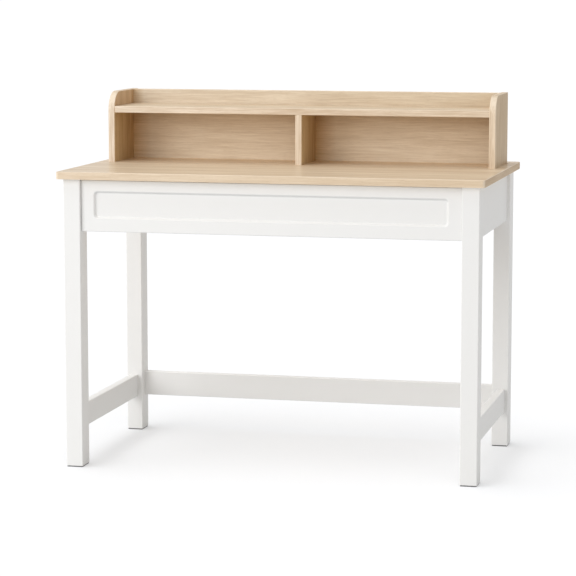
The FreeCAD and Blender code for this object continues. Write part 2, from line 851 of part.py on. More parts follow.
cleat_screws = []
top_screws = []
cleat_mid = f"({cleat_low} + cleat_width / 2)"
cleat_places = (
    ("front", f"{cleat_start} + screw_edge"),
    ("middle", middle(cleat_start, cleat_end)),
    ("back", f"{cleat_end} - screw_edge"),
)
for side in sides:
    boards = (f"top_cleat_{side}", f"side_apron_{side}")
    for row, y in cleat_places:
        start = [at(side, f"({apron_inner} - cleat_width)"), y, cleat_mid]
        name = f"side_cleat_screw_{side}_{row}"
        cleat_screws.append(screw(name, start, outwards(side), "cleat_screw_length", *boards))
    cleat_x = at(side, f"({apron_inner} - cleat_width / 2)")
    top_places = (("front", f"{cleat_start} + 2 * screw_edge"), ("back", f"{cleat_end} - 2 * screw_edge"))
    for row, y in top_places:
        name = f"side_top_screw_{side}_{row}"
        start = [cleat_x, y, cleat_low]
        top_screws.append(screw(name, start, "z", "cleat_screw_length", f"top_cleat_{side}", "desktop"))
    x = at(side, f"({back_cleat_end} - screw_edge)")
    start = [x, f"{back_apron_front} - cleat_width", cleat_mid]
    name = f"back_cleat_screw_{side}"
    cleat_screws.append(screw(name, start, "y", "cleat_screw_length", "top_cleat_back", "back_apron"))
    x = at(side, f"({back_cleat_end} - 2 * screw_edge)")
    start = [x, f"{back_apron_front} - cleat_width / 2", cleat_low]
    name = f"back_top_screw_{side}"
    top_screws.append(screw(name, start, "z", "cleat_screw_length", "top_cleat_back", "desktop"))
    x = at(side, f"({leg_inner} - 2 * screw_edge)")
    start = [x, f"{rail_front} + rail_depth / 2", rail_low]
    name = f"rail_top_screw_{side}"
    top_screws.append(screw(name, start, "z", "cleat_screw_length", "front_top_rail", "desktop"))
finish_group("cleat_screws", cleat_screws)
finish_group("top_screws", top_screws)

# Drawer fasteners

runner_screws = []
drawer_dowels = []
drawer_screws = []
runner_mid = f"({runner_low} + runner_height / 2)"
box_side_mid = f"({box_outer} - drawer_side_thickness / 2)"
runner_places = (
    ("front", f"{front_leg_back} + screw_edge"),
    ("middle", middle(front_leg_back, rear_leg_front)),
    ("back", f"{rear_leg_front} - screw_edge"),
)
lower_fix = middle(bottom_high, runner_low)
upper_fix = middle(f"{runner_low} + runner_height", box_high)
dowel_into_front = "(drawer_front_thickness - field_depth - edge_radius)"
for side in sides:
    for row, y in runner_places:
        start = [at(side, runner_inner), y, runner_mid]
        boards = (f"drawer_runner_{side}", f"side_apron_{side}")
        name = f"runner_screw_{side}_{row}"
        runner_screws.append(screw(name, start, outwards(side), "runner_screw_length", *boards))
    for level, z in (("lower", lower_fix), ("upper", upper_fix)):
        centre = [at(side, box_side_mid), panel_back, z]
        boards = ("drawer_front", f"drawer_side_{side}")
        name = f"drawer_dowel_{side}_{level}"
        length = f"2 * {dowel_into_front}"
        drawer_dowels.append(dowel(name, centre, "y", "thin_dowel_radius", length, *boards))
        start = [at(side, box_outer), f"{box_back} - drawer_back_thickness / 2", z]
        boards = (f"drawer_side_{side}", "drawer_back")
        name = f"drawer_back_screw_{side}_{level}"
        drawer_screws.append(screw(name, start, inwards(side), "drawer_screw_length", *boards))
finish_group("runner_screws", runner_screws)
finish_group("drawer_dowels", drawer_dowels)
finish_group("drawer_back_screws", drawer_screws)

bottom_pins = []
pin_places = (("left", f"-{box_inner} / 2"), ("middle", "bearer_width"), ("right", f"{box_inner} / 2"))
for place_name, x in pin_places:
    start = [x, f"{box_back} - drawer_back_thickness / 2", bottom_low]
    pin = cylinder(f"bottom_pin_{place_name}", start, "z", "pin_radius", "pin_length")
    hole_length = "pin_length + dowel_end_fit"
    hole = cylinder(f"bottom_pin_hole_{place_name}", start, "z", "pin_radius + dowel_fit", hole_length)
    drill(hole, "drawer_bottom", "drawer_back")
    bottom_pins.append(pin)
finish_group("drawer_bottom_pins", bottom_pins)

stop_screws = []
for side in sides:
    start = [at(side, "stop_width / 4"), f"{stop_back} - stop_depth / 2", f"{top_under} - stop_height"]
    length = "stop_height + top_thickness / 2"
    stop_screws.append(screw(f"stop_screw_{side}", start, "z", length, "drawer_stop_block", "desktop"))
finish_group("stop_block_screws", stop_screws)

# Hutch fasteners

hutch_bolts = []
hutch_cams = []
hutch_dowels = []
fixing_screws = []
back_screws = []
shelf_mid = middle(shelf_low, shelf_high)
back_panel_mid = middle(back_panel_front, back_panel_back)
hutch_rows = (("front", f"{hutch_front} + screw_edge"), ("back", f"{back_panel_front} - screw_edge"))
for side in sides:
    for row, y in hutch_rows:
        joint = [at(side, hutch_inner), y, shelf_mid]
        boards = ("hutch_shelf", f"hutch_side_{side}")
        cam_place = (shelf_low, "z", "hutch_board")
        bolt, cam = cam_joint(f"shelf_{side}_{row}", joint, outwards(side), *cam_place, *boards)
        hutch_bolts.append(bolt)
        hutch_cams.append(cam)
        start = [at(side, f"({hutch_outer} - hutch_board / 2)"), y, top_under]
        name = f"hutch_fixing_screw_{side}_{row}"
        fixing_screws.append(screw(name, start, "z", "hutch_screw_length", "desktop", f"hutch_side_{side}"))
    dowel_levels = (("lower", "desk_height + screw_edge"), ("upper", f"{shelf_high} + gallery_height / 2"))
    for level, z in dowel_levels:
        centre = [at(side, hutch_inner), back_panel_mid, z]
        boards = ("hutch_back_panel", f"hutch_side_{side}")
        name = f"back_panel_dowel_{side}_{level}"
        hutch_dowels.append(dowel(name, centre, "x", "thin_dowel_radius", "thin_dowel_length", *boards))
    start = [at(side, f"{hutch_inner} / 2"), back_panel_back, shelf_mid]
    name = f"back_shelf_screw_{side}"
    back_screws.append(screw(name, start, "-y", "back_screw_length", "hutch_back_panel", "hutch_shelf"))
for row, y in hutch_rows:
    centre = ["0", y, shelf_low]
    boards = ("hutch_shelf", "hutch_divider")
    name = f"divider_dowel_{row}"
    hutch_dowels.append(dowel(name, centre, "z", "thin_dowel_radius", "thin_dowel_length", *boards))
    name = f"divider_fixing_screw_{row}"
    start = ["0", y, top_under]
    fixing_screws.append(screw(name, start, "z", "hutch_screw_length", "desktop", "hutch_divider"))
for level, z in (("lower", "desk_height + screw_edge"), ("upper", f"{shelf_low} - screw_edge")):
    start = ["0", back_panel_back, z]
    name = f"back_divider_screw_{level}"
    back_screws.append(screw(name, start, "-y", "back_screw_length", "hutch_back_panel", "hutch_divider"))
finish_group("hutch_cam_bolts", hutch_bolts)
finish_group("hutch_cam_locks", hutch_cams)
finish_group("hutch_dowels", hutch_dowels)
finish_group("hutch_fixing_screws", fixing_screws)
finish_group("hutch_back_screws", back_screws)

for name, blank in blanks.items():
    finish(name, blank)

# Check everything before anything is written

doc.recompute()
failed = [thing.Name for thing in doc.Objects if "Invalid" in thing.State or "Error" in thing.State]
if failed:
    raise RuntimeError(f"these objects failed: {failed}")
for piece in pieces:
    if piece.Shape.isNull() or not piece.Shape.isValid() or not piece.Shape.Solids:
        raise RuntimeError(f"{piece.Label} has no valid solid")

os.makedirs("parts", exist_ok=True)
for piece in pieces:
    piece.Shape.exportStep(f"parts/{piece.Label}.step")
    print(f"{piece.Label}: {len(piece.Shape.Solids)} solid(s), {piece.Shape.Volume / 1000:.1f} cm3")
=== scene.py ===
import json
import math

import bpy
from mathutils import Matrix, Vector

# student desk with a hutch: pale oak boards on a white lacquered frame, shot in a white studio
# metres, X along the desk, Y from front to back, Z up, floor at 0

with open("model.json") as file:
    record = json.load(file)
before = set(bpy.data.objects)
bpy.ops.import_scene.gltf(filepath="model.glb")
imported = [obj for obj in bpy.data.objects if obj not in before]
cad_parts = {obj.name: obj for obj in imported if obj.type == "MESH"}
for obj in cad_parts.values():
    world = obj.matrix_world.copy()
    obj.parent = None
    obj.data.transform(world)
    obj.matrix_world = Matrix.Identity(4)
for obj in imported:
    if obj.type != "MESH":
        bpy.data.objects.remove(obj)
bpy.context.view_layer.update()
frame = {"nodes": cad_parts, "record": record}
scene = bpy.context.scene
scene.view_settings.view_transform = "Standard"
nodes = frame["nodes"]
print("frame loaded:", len(nodes), "nodes")


# shader helpers

def addNode(tree, kind, **settings):
    node = tree.nodes.new(kind)
    for name, value in settings.items():
        setattr(node, name, value)
    return node


def feed(tree, socket, value):
    # a link when value is a socket, a plain setting otherwise
    if isinstance(value, bpy.types.NodeSocket):
        tree.links.new(value, socket)
    else:
        socket.default_value = value


def mathNode(tree, operation, first, second=None, third=None):
    node = addNode(tree, "ShaderNodeMath", operation=operation)
    for number, value in enumerate((first, second, third)):
        if value is not None:
            feed(tree, node.inputs[number], value)
    return node.outputs[0]


def mixColour(tree, factor, first, second, blend="MIX"):
    node = addNode(tree, "ShaderNodeMix", data_type="RGBA", blend_type=blend)
    feed(tree, node.inputs["Factor"], factor)
    feed(tree, node.inputs[6], first)
    feed(tree, node.inputs[7], second)
    return node.outputs[2]


def mapRange(tree, value, fromLow, fromHigh, toLow=0.0, toHigh=1.0):
    node = addNode(tree, "ShaderNodeMapRange", clamp=True)
    for number, entry in enumerate((value, fromLow, fromHigh, toLow, toHigh)):
        feed(tree, node.inputs[number], entry)
    return node.outputs[0]


def axesOf(tree, vector):
    split = addNode(tree, "ShaderNodeSeparateXYZ")
    feed(tree, split.inputs[0], vector)
    return split.outputs


def newGroup(name, inputs, outputs):
    tree = bpy.data.node_groups.new(name, "ShaderNodeTree")
    for title, kind in inputs:
        tree.interface.new_socket(name=title, in_out="INPUT", socket_type=kind)
    for title, kind in outputs:
        tree.interface.new_socket(name=title, in_out="OUTPUT", socket_type=kind)
    return tree, addNode(tree, "NodeGroupInput").outputs, addNode(tree, "NodeGroupOutput").inputs


def newMaterial(name):
    material = bpy.data.materials.new(name)
    material.use_nodes = True
    tree = material.node_tree
    return material, tree, tree.nodes["Principled BSDF"]


def noise(tree, vector, scale, detail=2.0, roughness=0.5):
    # scale: lumps per metre along X, Y and Z
    mapping = addNode(tree, "ShaderNodeMapping", vector_type="POINT")
    mapping.inputs["Scale"].default_value = scale
    feed(tree, mapping.inputs["Vector"], vector)
    texture = addNode(tree, "ShaderNodeTexNoise")
    texture.inputs["Scale"].default_value = 1.0
    texture.inputs["Detail"].default_value = detail
    texture.inputs["Roughness"].default_value = roughness
    feed(tree, texture.inputs["Vector"], mapping.outputs[0])
    return texture.outputs[0]


# straight wood grain, X along the fibres

grainSettings = {
    "bend": (3.0, 9.0, 9.0),          # slow drift of the fibres
    "bendDepth": 0.006,
    "streak": (6.5, 170.0, 170.0),    # 6 mm wide, 150 mm long
    "streakShare": 0.42,
    "fine": (18.0, 430.0, 430.0),     # 2.5 mm wide, 55 mm long
    "fineShare": 0.33,
    "band": (4.5, 34.0, 34.0),        # 30 mm wide growth bands
    "bandShare": 0.25,
    "stave": (1.5, 30.0, 30.0),       # 33 mm wide strips of darker and paler veneer
    "toneSpan": (0.34, 0.66),         # the part of their sum that goes from dark to light wood
    "pore": (60.0, 1300.0, 1300.0),   # short open pores
    "poreSpan": (0.60, 0.72),
    "dull": 0.05,                     # roughness added on dark wood, taken off on light wood
    "gloss": 0.04,
    "reliefDepth": 0.0004,
}


def makeGrainGroup(settings):
    tree, given, made = newGroup(
        "straightGrain",
        [("Vector", "NodeSocketVector"), ("Staves", "NodeSocketFloat")],
        [("Tone", "NodeSocketFloat"), ("Pores", "NodeSocketFloat")],
    )
    drift = mathNode(tree, "SUBTRACT", noise(tree, given["Vector"], settings["bend"]), 0.5)
    drift = mathNode(tree, "MULTIPLY", drift, settings["bendDepth"])
    shift = addNode(tree, "ShaderNodeCombineXYZ")
    feed(tree, shift.inputs["Y"], drift)
    feed(tree, shift.inputs["Z"], drift)
    moved = addNode(tree, "ShaderNodeVectorMath", operation="ADD")
    feed(tree, moved.inputs[0], given["Vector"])
    feed(tree, moved.inputs[1], shift.outputs[0])
    bent = moved.outputs[0]
    streak = noise(tree, bent, settings["streak"], detail=3.0, roughness=0.6)
    fine = noise(tree, bent, settings["fine"], roughness=0.6)
    band = noise(tree, bent, settings["band"])
    tone = mathNode(tree, "MULTIPLY", fine, settings["fineShare"])
    tone = mathNode(tree, "MULTIPLY_ADD", streak, settings["streakShare"], tone)
    tone = mathNode(tree, "MULTIPLY_ADD", band, settings["bandShare"], tone)
    stave = mathNode(tree, "SUBTRACT", noise(tree, bent, settings["stave"], roughness=0.55), 0.5)
    tone = mathNode(tree, "MULTIPLY_ADD", stave, given["Staves"], tone)
    feed(tree, made["Tone"], mapRange(tree, tone, *settings["toneSpan"]))
    pores = noise(tree, bent, settings["pore"], detail=1.0)
    feed(tree, made["Pores"], mapRange(tree, pores, *settings["poreSpan"]))
    return tree


# how squarely a face looks along an axis before it counts, and when it counts in full
faceSettings = {
    "flat": (0.55, 0.85),
    "level": (0.30, 0.85),
    "rise": (0.15, 0.60),
    "arris": (0.85, 0.99),      # an eased edge is less square than this
    "across": 0.7,              # a face that cuts the fibres
}


def makeFaceGroup(settings):
    # Side: faces to the left and right, Front: to the front and back, Level: up and down, Rise: up only,
    # Fall: down only, Arris: the eased edges
    tree, given, made = newGroup(
        "boardFaces",
        [("Normal", "NodeSocketVector")],
        [(title, "NodeSocketFloat") for title in ("Side", "Front", "Level", "Rise", "Fall", "Arris")],
    )
    facing = axesOf(tree, given["Normal"])
    sizes = [mathNode(tree, "ABSOLUTE", facing[axis]) for axis in "XYZ"]
    feed(tree, made["Side"], mapRange(tree, sizes[0], *settings["flat"]))
    feed(tree, made["Front"], mapRange(tree, sizes[1], *settings["flat"]))
    feed(tree, made["Level"], mapRange(tree, sizes[2], *settings["level"]))
    least, most = settings["rise"]
    feed(tree, made["Rise"], mapRange(tree, facing["Z"], least, most))
    feed(tree, made["Fall"], mapRange(tree, facing["Z"], -most, -least, 1.0, 0.0))
    largest = mathNode(tree, "MAXIMUM", mathNode(tree, "MAXIMUM", sizes[0], sizes[1]), sizes[2])
    feed(tree, made["Arris"], mapRange(tree, largest, *settings["arris"], 1.0, 0.0))
    return tree


speckleSettings = {
    "broadShare": 0.08,       # broad patches for each fine speck
    "span": (0.3, 0.7),
    "gloss": 0.04,            # how far the specks move the roughness
    "reliefDepth": 0.0003,
}


def makeSpeckleGroup(settings):
    # fine specks, Scale of them per metre, and broad patches
    tree, given, made = newGroup(
        "surfaceSpeckle",
        [("Vector", "NodeSocketVector"), ("Scale", "NodeSocketFloat")],
        [("Fine", "NodeSocketFloat"), ("Broad", "NodeSocketFloat")],
    )
    for title, share in (("Fine", 1.0), ("Broad", settings["broadShare"])):
        texture = addNode(tree, "ShaderNodeTexNoise")
        feed(tree, texture.inputs["Vector"], given["Vector"])
        feed(tree, texture.inputs["Scale"], mathNode(tree, "MULTIPLY", given["Scale"], share))
        feed(tree, made[title], mapRange(tree, texture.outputs[0], *settings["span"]))
    return tree


def extent(name, axis):
    # lowest and highest place of a CAD node along an axis, to a tenth of a millimetre
    places = [corner["XYZ".index(axis)] for corner in nodes[name].bound_box]
    return round(min(places), 4), round(max(places), 4)


skin = 0.005    # past a board's face, so that the face itself counts
bayPlaces = {
    "halfWidth": extent("hutch_side_right", "X")[0] + skin,
    "dividerHalf": extent("hutch_divider", "X")[1],
    "backFace": extent("hutch_back_panel", "Y")[0],
    "foot": extent("desktop", "Z")[1] + skin,
    "middle": 0.820,
    "shelf": extent("hutch_shelf", "Z")[0],
    "glowEnd": 0.19,        # from the corner to where the painted glow ends at the panel's own tone
}


def makeBayGroup(places):
    # painted shade and light on the faces inside the hutch: a tone that changes up from foot to shelf, a
    # painted dark corner and a painted glow out from the back corner, and a tone above the shelf
    tones = ("Foot", "Middle", "Shelf", "Above", "Corner", "Glow")
    tree, given, made = newGroup(
        "bayShade",
        [(title, "NodeSocketFloat") for title in ("Height", "Away", "Reach")]
        + [(title, "NodeSocketColor") for title in tones],
        [("Tone", "NodeSocketColor")],
    )
    lower = mapRange(tree, given["Height"], places["foot"], places["middle"])
    upper = mapRange(tree, given["Height"], places["middle"], places["shelf"])
    tone = mixColour(tree, lower, given["Foot"], given["Middle"])
    tone = mixColour(tree, upper, tone, given["Shelf"])
    near = mapRange(tree, given["Away"], 0.0, given["Reach"])
    far = mapRange(tree, given["Away"], given["Reach"], places["glowEnd"], 1.0, 0.0)
    tone = mixColour(tree, far, tone, mixColour(tree, near, given["Corner"], given["Glow"]), "MULTIPLY")
    above = mathNode(tree, "GREATER_THAN", given["Height"], places["shelf"])
    feed(tree, made["Tone"], mixColour(tree, above, tone, given["Above"]))
    return tree


grainGroup = makeGrainGroup(grainSettings)
faceGroup = makeFaceGroup(faceSettings)
speckleGroup = makeSpeckleGroup(speckleSettings)
bayGroup = makeBayGroup(bayPlaces)


def grainVector(tree, place, along, edge):
    # coordinates reordered so the fibres run on X
    # faces that cut the fibres carry an edge band, whose fibres run on the edge axis
    spot = axesOf(tree, place.outputs["Object"])
    facing = axesOf(tree, place.outputs["Normal"])
    orders = []
    for first in (along, edge):
        joined = addNode(tree, "ShaderNodeCombineXYZ")
        rest = [axis for axis in "XYZ" if axis != first]
        for socket, axis in zip("XYZ", [first] + rest):
            feed(tree, joined.inputs[socket], spot[axis])
        orders.append(joined.outputs[0])
    squarely = mathNode(tree, "ABSOLUTE", facing[along])
    across = mathNode(tree, "GREATER_THAN", squarely, faceSettings["across"])
    chosen = addNode(tree, "ShaderNodeMix", data_type="VECTOR")
    feed(tree, chosen.inputs["Factor"], across)
    feed(tree, chosen.inputs[4], orders[0])
    feed(tree, chosen.inputs[5], orders[1])
    return chosen.outputs[1]


def alongDesk(tree, place):
    # 0 at the hutch's left end, 1 at its right end
    spot = axesOf(tree, place.outputs["Object"])
    return mapRange(tree, spot["X"], -bayPlaces["halfWidth"], bayPlaces["halfWidth"])


def betweenSides(tree, spot):
    # 1 between the hutch's sides and on their inner faces
    return mathNode(tree, "LESS_THAN", mathNode(tree, "ABSOLUTE", spot["X"]), bayPlaces["halfWidth"])


def bayDeskLight(tree, place, faces, under):
    # painted light on the part of the desktop inside the hutch's bays, stronger towards the back panel
    spot = axesOf(tree, place.outputs["Object"])
    depth = mapRange(tree, spot["Y"], under["front"], under["back"])
    inside = mathNode(tree, "MULTIPLY", betweenSides(tree, spot), depth)
    return mathNode(tree, "MULTIPLY", inside, faces.outputs["Rise"])


def leftEndShade(tree, place, faces, end):
    # painted shade at the desktop's left end, which stands clear of the hutch and catches more light
    spot = axesOf(tree, place.outputs["Object"])
    outer = mapRange(tree, spot["X"], end["outer"], end["inner"], 1.0, 0.0)
    return mathNode(tree, "MULTIPLY", outer, faces.outputs["Rise"])


def paintedBayShade(tree, place, bay):
    # mask of the faces that look into the bays from the left and the back, and their painted shade and light
    spot = axesOf(tree, place.outputs["Object"])
    facing = axesOf(tree, place.outputs["Normal"])
    least, most = faceSettings["flat"]
    if bay["face"] == "back":
        # each bay starts at the wall on its left
        looks = mapRange(tree, facing["Y"], -most, -least, 1.0, 0.0)
        rightBay = mathNode(tree, "GREATER_THAN", spot["X"], 0.0)
        wall = mapRange(tree, rightBay, 0.0, 1.0, -bayPlaces["halfWidth"], bayPlaces["dividerHalf"])
        away = mathNode(tree, "SUBTRACT", spot["X"], wall)
        glow = mixColour(tree, rightBay, bay["glow"], bay["rightGlow"])
        above = mixColour(tree, alongDesk(tree, place), bay["aboveLeft"], bay["aboveRight"])
        cornerAway = mathNode(tree, "ADD", spot["X"], bayPlaces["halfWidth"])
    else:
        away = mathNode(tree, "SUBTRACT", bayPlaces["backFace"], spot["Y"])
        ahead = mathNode(tree, "GREATER_THAN", away, 0.0)
        looks = mathNode(tree, "MULTIPLY", ahead, mapRange(tree, facing["X"], least, most))
        glow = bay["glow"]
        above = bay["above"]
        cornerAway = away
    nearCorner = mapRange(tree, cornerAway, 0.0, bay["aboveReach"], 1.0, 0.0)
    above = mixColour(tree, nearCorner, above, bay["aboveCorner"], "MULTIPLY")
    shade = addNode(tree, "ShaderNodeGroup", node_tree=bayGroup)
    feed(tree, shade.inputs["Height"], spot["Z"])
    feed(tree, shade.inputs["Away"], away)
    feed(tree, shade.inputs["Glow"], glow)
    feed(tree, shade.inputs["Above"], above)
    for title in ("Reach", "Foot", "Middle", "Shelf", "Corner"):
        shade.inputs[title].default_value = bay[title.lower()]
    return mathNode(tree, "MULTIPLY", betweenSides(tree, spot), looks), shade.outputs["Tone"]


def makeWood(name, settings, along, edge):
    material, tree, shader = newMaterial(name)
    place = addNode(tree, "ShaderNodeTexCoord")
    grain = addNode(tree, "ShaderNodeGroup", node_tree=grainGroup)
    feed(tree, grain.inputs["Vector"], grainVector(tree, place, along, edge))
    faces = addNode(tree, "ShaderNodeGroup", node_tree=faceGroup)
    feed(tree, faces.inputs["Normal"], place.outputs["Normal"])
    feed(tree, grain.inputs["Staves"], mathNode(tree, "MULTIPLY", faces.outputs["Rise"], settings["staves"]))
    colour = mixColour(tree, grain.outputs["Tone"], settings["dark"], settings["light"])
    poreMask = mathNode(tree, "MULTIPLY", grain.outputs["Pores"], settings["poreDepth"])
    colour = mixColour(tree, poreMask, colour, settings["pore"])
    # painted shade on the faces that look left and right
    colour = mixColour(tree, faces.outputs["Side"], colour, settings["sideShade"], "MULTIPLY")
    # painted sheen on the faces that look to the front, paler and whiter towards the left end
    frontSheen = mixColour(tree, alongDesk(tree, place), settings["frontSheenLeft"], settings["frontSheenRight"])
    colour = mixColour(tree, faces.outputs["Front"], colour, frontSheen, "MULTIPLY")
    # painted light on the faces that look up
    colour = mixColour(tree, faces.outputs["Rise"], colour, settings["upFaceLight"], "MULTIPLY")
    # paler eased edges: a painted highlight
    arris = mathNode(tree, "MULTIPLY", faces.outputs["Arris"], settings["arrisHighlightDepth"])
    colour = mixColour(tree, arris, colour, settings["arris"])
    for title, findMask in (("under", bayDeskLight), ("leftEndShade", leftEndShade)):
        if title in settings:
            mask = findMask(tree, place, faces, settings[title])
            colour = mixColour(tree, mask, colour, settings[title]["tone"], "MULTIPLY")
    # painted shade and light inside the hutch's bays
    if "bay" in settings:
        mask, tone = paintedBayShade(tree, place, settings["bay"])
        colour = mixColour(tree, mask, colour, tone, "MULTIPLY")
    feed(tree, shader.inputs["Base Color"], colour)
    shader.inputs["Specular IOR Level"].default_value = settings["shine"]
    darkRough = settings["roughness"] + grainSettings["dull"]
    lightRough = settings["roughness"] - grainSettings["gloss"]
    rough = mapRange(tree, grain.outputs["Tone"], 0.0, 1.0, darkRough, lightRough)
    feed(tree, shader.inputs["Roughness"], rough)
    if "coat" in settings:
        coat = mathNode(tree, "MULTIPLY", faces.outputs["Level"], settings["coat"])
        feed(tree, shader.inputs["Coat Weight"], coat)
        shader.inputs["Coat Roughness"].default_value = settings["coatRoughness"]
    relief = addNode(tree, "ShaderNodeBump")
    relief.inputs["Strength"].default_value = settings["relief"]
    relief.inputs["Distance"].default_value = grainSettings["reliefDepth"]
    feed(tree, relief.inputs["Height"], grain.outputs["Tone"])
    feed(tree, shader.inputs["Normal"], relief.outputs[0])
    return material


plainTone = (1.0, 1.0, 1.0, 1.0)
oakSettings = {
    "dark": (0.665, 0.515, 0.355, 1.0),
    "light": (0.815, 0.672, 0.500, 1.0),
    "pore": (0.540, 0.395, 0.255, 1.0),
    "poreDepth": 0.35,
    "staves": 0.0,
    # painted shade on the faces that look left and right
    "sideShade": (0.83, 0.81, 0.76, 1.0),
    "frontSheenLeft": (1.092, 1.150, 1.275, 1.0),   # painted sheen, paler and whiter towards the left end
    "frontSheenRight": (1.008, 1.025, 1.066, 1.0),
    "upFaceLight": plainTone,
    # paler eased edges: a painted highlight
    "arris": (0.92, 0.80, 0.65, 1.0),
    "arrisHighlightDepth": 0.6,
    "roughness": 0.45,
    "shine": 0.03,
    "relief": 0.06,
}
topSettings = dict(
    oakSettings,
    staves=0.85,
    # painted shade on the desktop's faces that look left and right
    sideShade=(0.80, 0.758, 0.716, 1.0),
    # painted sheen on the desktop's front edge, paler and whiter towards the left end
    frontSheenLeft=(1.015, 1.030, 1.070, 1.0),
    frontSheenRight=(0.958, 0.943, 0.932, 1.0),
    # painted light on the desktop's top
    upFaceLight=(1.015, 1.005, 0.993, 1.0),
    coat=0.20,
    coatRoughness=0.13,
    # painted light on the desktop inside the hutch's bays
    under={"front": 0.06, "back": 0.20, "tone": (1.20, 1.20, 1.19, 1.0)},
    # painted shade at the desktop's left end
    leftEndShade={"outer": -0.53, "inner": -0.36, "tone": (0.915, 0.920, 0.925, 1.0)},
)
shelfSettings = dict(
    oakSettings,
    dark=(0.575, 0.425, 0.275, 1.0),
    light=(0.895, 0.752, 0.572, 1.0),
    frontSheenRight=(0.990, 1.000, 1.032, 1.0),
    shine=0.05,
)
uprightSettings = dict(
    shelfSettings,
    # painted shade on the uprights' faces that look left and right
    sideShade=(0.79, 0.75, 0.68, 1.0),
    frontSheenRight=(1.030, 1.045, 1.085, 1.0),
    # painted shade and light on the uprights inside the bays: a painted dark corner at the back, faces
    # lighter from foot to shelf and above it, and a painted dark corner above the shelf
    bay={
        "face": "side",
        "reach": 0.14,
        "corner": (0.80, 0.72, 0.64, 1.0),
        "foot": (1.16, 1.11, 0.94, 1.0),
        "middle": (1.16, 1.11, 0.94, 1.0),
        "shelf": (1.14, 1.09, 0.92, 1.0),
        "above": (1.18, 1.08, 1.00, 1.0),
        "aboveReach": 0.024,
        "aboveCorner": (0.78, 0.70, 0.58, 1.0),
        "glow": plainTone,
    },
)
backSettings = dict(
    oakSettings,
    dark=(0.655, 0.510, 0.355, 1.0),
    light=(0.895, 0.757, 0.585, 1.0),
    # painted sheen on the back panel's front faces, paler and whiter across the whole panel
    frontSheenLeft=(0.985, 1.03, 1.075, 1.0),
    frontSheenRight=(0.985, 1.03, 1.075, 1.0),
    # painted shade and light on the back panel: a painted dark corner by each bay's left wall, a painted glow
    # past it that is brighter in the right bay, a darker band under the shelf, and above the shelf a tone
    # that changes from left to right with a painted dark corner at the left end
    bay={
        "face": "back",
        "reach": 0.055,
        "corner": (0.74, 0.55, 0.34, 1.0),
        "foot": (0.985, 0.975, 0.965, 1.0),
        "middle": (1.025, 1.005, 0.99, 1.0),
        "shelf": (0.88, 0.81, 0.735, 1.0),
        "aboveLeft": (0.945, 0.950, 0.975, 1.0),
        "aboveRight": (0.838, 0.806, 0.758, 1.0),
        "aboveReach": 0.036,
        "aboveCorner": (0.78, 0.65, 0.47, 1.0),
        "glow": (1.0, 0.98, 0.96, 1.0),
        "rightGlow": (1.11, 1.10, 1.08, 1.0),
    },
)
birchSettings = {
    "dark": (0.640, 0.510, 0.370, 1.0),
    "light": (0.760, 0.640, 0.490, 1.0),
    "pore": (0.560, 0.420, 0.290, 1.0),
    "poreDepth": 0.20,
    "staves": 0.0,
    "sideShade": plainTone,
    "frontSheenLeft": plainTone,
    "frontSheenRight": plainTone,
    "upFaceLight": plainTone,
    "arris": (0.78, 0.66, 0.51, 1.0),
    "arrisHighlightDepth": 0.3,
    "roughness": 0.55,
    "shine": 0.25,
    "relief": 0.05,
}
beechSettings = {
    "dark": (0.500, 0.340, 0.220, 1.0),
    "light": (0.640, 0.470, 0.320, 1.0),
    "pore": (0.380, 0.240, 0.150, 1.0),
    "poreDepth": 0.40,
    "staves": 0.0,
    "sideShade": plainTone,
    "frontSheenLeft": plainTone,
    "frontSheenRight": plainTone,
    "upFaceLight": plainTone,
    "arris": (0.66, 0.49, 0.34, 1.0),
    "arrisHighlightDepth": 0.3,
    "roughness": 0.60,
    "shine": 0.25,
    "relief": 0.06,
}


# white lacquer, zinc and plastic

lacquerSettings = {
    "colour": (0.852, 0.848, 0.838, 1.0),
    "rising": (0.932, 0.930, 0.924, 1.0),    # painted light on faces that look up
    "fallingShade": (0.730, 0.730, 0.722, 1.0),   # painted shade on faces that look down
    "patch": (0.995, 0.995, 0.993, 1.0),     # tone of the broad patches
    # paler eased edges: a painted highlight
    "arris": (0.960, 0.960, 0.955, 1.0),
    "arrisHighlightDepth": 0.6,
    "roughness": 0.48,
    "shine": 0.08,
    "metallic": 0.0,
    "speckle": 260.0,
    "relief": 0.03,
}
routedSettings = dict(lacquerSettings, arrisHighlightDepth=0.0)
zincSettings = {
    "colour": (0.660, 0.665, 0.670, 1.0),
    "patch": (0.840, 0.850, 0.880, 1.0),
    "arris": (0.780, 0.780, 0.770, 1.0),
    "arrisHighlightDepth": 0.5,
    "roughness": 0.38,
    "shine": 0.5,
    "metallic": 1.0,
    "speckle": 1800.0,
    "relief": 0.10,
}
glideSettings = {
    "colour": (0.160, 0.160, 0.160, 1.0),
    "patch": (0.880, 0.880, 0.890, 1.0),
    "arris": (0.230, 0.230, 0.225, 1.0),
    "arrisHighlightDepth": 0.5,
    "roughness": 0.55,
    "shine": 0.3,
    "metallic": 0.0,
    "speckle": 1500.0,
    "relief": 0.20,
}


